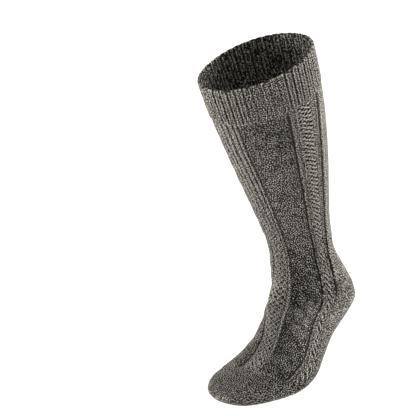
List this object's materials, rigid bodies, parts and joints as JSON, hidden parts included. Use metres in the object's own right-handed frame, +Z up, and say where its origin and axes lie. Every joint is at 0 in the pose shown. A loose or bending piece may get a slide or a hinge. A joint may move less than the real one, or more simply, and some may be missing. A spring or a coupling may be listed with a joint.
{
  "type": "lederhosen sock",
  "caption": "Knee-high knitted wool sock for a left foot, with ribbed cuff, cable and ladder bands down the leg and instep, and plain heel, sole and toe.",
  "frame": {"origin": "on the inside of the sole, under the middle of the ankle", "axes": "+Z up the leg, the toes point to -Y, +X is the outer side of a left foot"},
  "size_m": [0.1487, 0.287, 0.3577],
  "materials": {
    "ribbed_wool": "matt ribbed wool, grey-olive melange",
    "patterned_wool": "matt patterned wool, grey-olive melange",
    "instep_wool": "matt patterned wool, grey-olive melange",
    "heel_wool": "matt plain knitted wool, grey-olive melange",
    "sole_wool": "matt plain knitted wool, grey-olive melange",
    "toe_wool": "matt plain knitted wool, grey-olive melange"
  },
  "bodies": {
    "root": {"cuff": "ribbed_wool", "leg": "patterned_wool", "instep": "instep_wool", "heel": "heel_wool", "sole": "sole_wool", "toe_cap": "toe_wool"}
  },
  "joints": []
}
